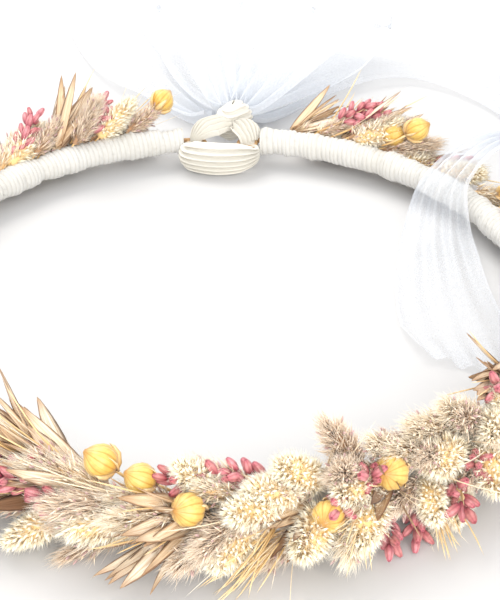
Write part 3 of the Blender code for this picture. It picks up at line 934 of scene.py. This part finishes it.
def smooth_route(route, count):
    """Evenly spaced points on a smooth curve through a few: Catmull-Rom pieces, whose point at t
    is half of 2b + (c - a)t + (2a - 5b + 4c - d)t^2 + (3b - a - 3c + d)t^3."""
    route = np.array(route, float)
    ends = np.concatenate([2 * route[:1] - route[1:2], route, 2 * route[-1:] - route[-2:-1]])
    t = np.linspace(0, 1, 24, endpoint=False)[:, None]
    a, b, c, d = (ends[k : k + len(route) - 1, None] for k in range(4))
    curve = 0.5 * (2 * b + (c - a) * t + (2 * a - 5 * b + 4 * c - d) * t**2 + (3 * b - a - 3 * c + d) * t**3)
    curve = np.concatenate([curve.reshape(-1, 3), route[-1:]])
    run = np.append(0, np.cumsum(np.linalg.norm(np.diff(curve, axis=0), axis=1)))
    even = np.linspace(0, run[-1], count)
    return np.stack([np.interp(even, run, curve[:, axis]) for axis in range(3)], 1), run[-1]


def pleats(across, share, width, folds, phase=0.0):
    """How far a gathered cloth stands off its middle: a wave across it whose depth takes up
    the width that the gather removes, 0.86 * sqrt(width^2 - gathered width^2) / (4 * folds)."""
    gathered = np.clip(share, 0.05, 0.97) * width
    depth = 0.86 * np.sqrt(np.maximum(width**2 - gathered**2, 0)) / (4 * folds)
    return depth * np.sin(math.pi * folds * (across + 1) + phase)


def organza(name, colour, cover, gather_cover):
    """Sheer plain weave: see-through between its threads, closer at the selvedges and in the
    gathers, with fine slubs along its length and a soft silky sheen."""
    made = plain_material(name, colour, 0.38)
    tree = made.node_tree
    across = value_of(tree, "across")
    streak_place = node_of(tree, "ShaderNodeMapping")
    streak_place.inputs["Scale"].default_value = (14, 26, 1)
    tree.links.new(vector_of(tree, across, value_of(tree, "along")), streak_place.inputs["Vector"])
    streaks = noise_of(tree, 2.2, 4, streak_place.outputs["Vector"])
    threads = noise_of(tree, 2400, 2, own_place(tree))
    edge = math_of(tree, "ABSOLUTE", across)
    selvedge = ramp_of(tree, edge, (0.90, (cover,) * 3), (0.97, (min(cover * 2.6, 1),) * 3))
    streak_cover = ramp_of(tree, streaks, (0.35, (0.75,) * 3), (0.65, (1, 1, 1)))
    thread_cover = ramp_of(tree, threads, (0.4, (0.7,) * 3), (0.6, (1, 1, 1)))
    alpha = mixed(tree, mixed(tree, selvedge, streak_cover), thread_cover)
    alpha = mixed(tree, alpha, (gather_cover,) * 3, value_of(tree, "gather"), "MIX")
    tree.links.new(alpha, tree.nodes["Principled BSDF"].inputs["Alpha"])
    tone = ramp_of(tree, streaks, (0.3, tuple(0.94 * part for part in colour)), (0.7, colour))
    return finish_with(made, tone, threads, 0.25, 0.0001, sheen_weight=0.4)


# Painted shade: the white organza is coloured a darker bluish grey, so that its sheer layers show on the
# white table.
sheer_white = organza("sheer_white_organza", (0.72, 0.76, 0.83), 0.30, 0.58)
gathered_cream = organza("gathered_cream_organza", (0.76, 0.735, 0.67), 0.72, 0.85)


def add_cloth(name, points, across, along, gather, material, node, body="right_half"):
    """One open sheet of the ribbon: a grid of points given from below the ring's middle, with each one's
    place across and along and how gathered it is."""
    gathered = np.clip(np.broadcast_to(gather, across.shape), 0, 1)
    shape = {
        "points": points.reshape(-1, 3) + ring_middle * [1, 1, 0],
        "quads": grid_quads(*points.shape[:2], around=False)[:, ::-1],
        "values": {"across": across.ravel(), "along": along.ravel(), "gather": gathered.ravel()},
    }
    cloth = add_piece(name, shape, [material], body, [node])
    return cloth


def add_tail(name, route, spread, rows, folds, seed, node, cut):
    """A tail: its route's height is the underside, and the pleats of a gathered stretch and the
    long soft ripples of an open one stand up from it. The end is cut on a slant."""
    path, length = smooth_route(route, rows)
    s = np.linspace(0, 1, rows)
    share = np.interp(s, np.linspace(0, 1, len(spread)), spread)
    way = unit(np.gradient(path, axis=0))
    side = unit(np.cross(way, [0.0, 0.0, 1.0]))
    up = np.cross(side, way)
    across, along = np.meshgrid(np.linspace(-1, 1, 65), s * length / 0.1, indexing="xy")
    share = share[:, None]
    fold = pleats(across, share, ribbon_width, folds, 0.8 * waves(along, 3, seed, 1, 4))
    ripple = 0.0011 * (1 + waves(along * 1.3 + across * 0.8, 4, seed + 1, 1.5, 5)) * share
    lift = fold + np.abs(fold).max(axis=1, keepdims=True) + np.maximum(ripple, 0)
    curl = 0.0013 * np.abs(across) ** 4 * share * (1 + waves(along, 3, seed + 2, 2, 6))
    wander = 0.0012 * waves(along, 3, seed + 3, 1, 3)
    slant = np.where(along > along.max() - 0.3, (along - along.max() + 0.3) / 0.3, 0) * across * cut
    points = path[:, None] + side[:, None] * (across * share * ribbon_width / 2 + wander)[..., None]
    points = points + up[:, None] * (lift + np.maximum(curl, 0))[..., None] + way[:, None] * slant[..., None]
    points[..., 2] = np.maximum(points[..., 2], 0.0004)
    add_cloth(
        name, points, across, along, (1 - share) * 1.2, sheer_white,
        node)


left_tail_route = [
    (-0.0010, 0.1155, 0.0070), (-0.0050, 0.1225, 0.0025), (-0.0110, 0.1310, 0.0004),
    (-0.0220, 0.1480, 0.0004), (-0.0330, 0.1680, 0.0004), (-0.0430, 0.1900, 0.0004),
    (-0.0520, 0.2130, 0.0004), (-0.0560, 0.2260, 0.0004),
]
right_tail_route = [
    (0.0085, 0.1160, 0.0070), (0.0140, 0.1240, 0.0025), (0.0220, 0.1360, 0.0004),
    (0.0380, 0.1590, 0.0004), (0.0580, 0.1760, 0.0004), (0.0820, 0.1780, 0.0004),
    (0.1050, 0.1620, 0.0004), (0.1180, 0.1350, 0.0004), (0.1190, 0.1100, 0.0010),
    (0.1110, 0.0900, 0.0075), (0.1010, 0.0770, 0.0165), (0.0905, 0.0670, 0.0200),
    (0.0800, 0.0560, 0.0178), (0.0735, 0.0475, 0.0122), (0.0708, 0.0360, 0.0035),
    (0.0698, 0.0190, 0.0004), (0.0695, 0.0000, 0.0004), (0.0715, -0.0180, 0.0004),
    (0.0740, -0.0320, 0.0004),
]
left_tail_spread = [0.30, 0.38, 0.55, 0.85, 1.0, 1.0, 1.0, 1.0]
right_tail_spread = [
    0.30, 0.38, 0.55, 0.85, 1.0, 1.0, 1.0, 0.95, 0.75, 0.55,
    0.42, 0.36, 0.34, 0.42, 0.60, 0.80, 0.92, 1.0, 0.80,
]
add_tail(
    "ribbon_left_tail", left_tail_route, left_tail_spread, 90, 3, 71, "ribbon_tail_left",
    0.006)
add_tail(
    "ribbon_right_tail", right_tail_route, right_tail_spread, 300, 4, 72, "ribbon_tail_right",
    -0.008)

# ---------------------------------------------------------------------------------------
# Bow loops: each is a length of the ribbon doubled back on itself, pleated hard at the knot
# and opening to its full width, held up by its own stiffness.
knot_place = np.array([0.004, 0.1085, 0.0108])
loop_length, loop_height, loop_half_width, loop_rise = 0.096, 0.0125, 0.0185, 0.0155
loop_columns, loop_rows = 61, 150
for name, loop_angle, loop_seed in (("left", 99, 5), ("right", 61, 8)):
    a = math.radians(loop_angle)
    way = np.array([math.cos(a), math.sin(a), 0])
    side = np.array([-way[1], way[0], 0])
    loop_share = np.linspace(0.015, 0.985, loop_rows)
    across, v = np.meshgrid(np.linspace(-1, 1, loop_columns), loop_share, indexing="xy")
    turn = 2 * math.pi * v
    reach = loop_length * ((1 - np.cos(turn)) / 2) ** 0.82
    height = loop_height * np.sin(turn) * np.sin(turn / 2) ** 0.8
    share = np.clip(0.20 + 0.95 * np.sin(math.pi * v) ** 0.9, 0, 1)
    fold = pleats(across, share, 2 * loop_half_width, 4, 0.6 * waves(v * 3, 3, loop_seed, 1, 3))
    sway = 0.0016 * waves(v * 5 + across * 0.7, 4, loop_seed + 1, 1, 3) * share
    droop = 0.0022 * np.abs(across) ** 2 * share
    wide = across * share * loop_half_width + 0.0016 * waves(v * 4, 3, loop_seed + 2, 1, 3) * share
    tall = height + np.where(v < 0.5, 1, -1) * fold + sway - droop * np.where(v < 0.5, 1, -0.4)
    points = knot_place + way * (0.0045 + reach)[..., None] + side * wide[..., None]
    points[..., 2] = np.maximum(loop_rise - 0.3 * knot_place[2] * (1 - share) + tall, 0.0006)
    add_cloth(
        f"ribbon_bow_loop_{name}", points, across, v * 2, (1 - share) * 1.1, sheer_white,
        f"bow_loop_{name}")

# ---------------------------------------------------------------------------------------
# Knot: a wrap of the same ribbon pulled tight round the loops' feet, in deep creases that
# run round it.
knot_radius, knot_depth, knot_half_height, crease_depth = 0.0060, 0.0052, 0.0072, 0.00095
knot_turn, knot_level = np.meshgrid(np.linspace(0, 2 * math.pi, 61), np.linspace(-1, 1, 56), indexing="xy")
knot_bulge = np.sqrt(np.maximum(1 - 0.992 * knot_level**2, 0))
crease = crease_depth * np.sin(knot_level * 7 * math.pi + 0.9 * np.sin(knot_turn * 2) + 0.5 * knot_turn)
knot_out = knot_bulge * (1 + 0.10 * np.sin(2 * knot_turn + 0.6))
wrap = np.stack([
    (knot_radius * knot_out + crease * knot_bulge) * np.cos(knot_turn),
    (knot_depth * knot_out + crease * knot_bulge) * np.sin(knot_turn),
    knot_half_height * knot_level + 0.0007 * np.sin(knot_turn + 1),
], -1)
wrap[:, -1] = wrap[:, 0]
add_cloth(
    "ribbon_bow_knot", wrap + knot_place, knot_level * 0.9, knot_turn / 6, 1, gathered_cream,
    "ribbon_knot")

# ---------------------------------------------------------------------------------------
# Tie: the ribbon goes down through one wire eye, bulges towards the ring's middle as a thick
# cream gather that bridges the gap, and comes up through the other eye to the knot.
tie_rows = 170
tie_route = [
    (0.0024, 0.1045, 0.0112), (-0.0032, 0.1015, 0.0114), (-0.0070, 0.0982, 0.0112),
    (-0.0091, 0.0950, 0.0104), (-0.0097, 0.0934, 0.0086), (-0.0120, 0.0918, 0.0072),
    (-0.0112, 0.0890, 0.0064), (-0.0060, 0.0870, 0.0062), (0.0000, 0.0862, 0.0062),
    (0.0060, 0.0870, 0.0062), (0.0112, 0.0890, 0.0064), (0.0120, 0.0918, 0.0072),
    (0.0097, 0.0934, 0.0086), (0.0091, 0.0950, 0.0104), (0.0086, 0.0982, 0.0112),
    (0.0074, 0.1015, 0.0114), (0.0056, 0.1045, 0.0112),
]
tie_spread = [
    0.24, 0.36, 0.38, 0.27, 0.12, 0.27, 0.36, 0.38, 0.39, 0.38, 0.36, 0.27, 0.12, 0.25, 0.34, 0.32, 0.20,
]
path, tie_length = smooth_route(tie_route, tie_rows)
way = unit(np.gradient(path, axis=0))
s = np.linspace(0, 1, tie_rows)
share = np.interp(s, np.linspace(0, 1, len(tie_spread)), tie_spread)[:, None]
level = np.stack([-0.8 * np.sign(path[:, 0]), -np.ones(tie_rows), np.zeros(tie_rows)], 1)
standing = np.clip((0.0936 - path[:, 1:2]) / 0.0025, 0, 1)
guide = level * (1 - standing) + np.array([0.0, 0.0, 1.0]) * standing
side = unit(guide - way * (guide * way).sum(1, keepdims=True))
out = np.cross(side, way)
across, along = np.meshgrid(np.linspace(-1, 1, 97), s * tie_length / 0.1, indexing="xy")
fold = pleats(across, share, ribbon_width, 6, 1.1 * waves(along * 2, 3, 91, 1, 4))
bulge = 0.0030 * (1 - across**2) * np.minimum(share * 3, 1) ** 2
points = path[:, None] + side[:, None] * (across * share * ribbon_width / 2)[..., None]
points = points + out[:, None] * (fold - bulge)[..., None]
points[..., 2] = np.maximum(points[..., 2], 0.0005)
tie = add_cloth(
    "ribbon_tie_strap", points, across, along, 1, gathered_cream,
    "ribbon_tie", None)
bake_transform(tie)
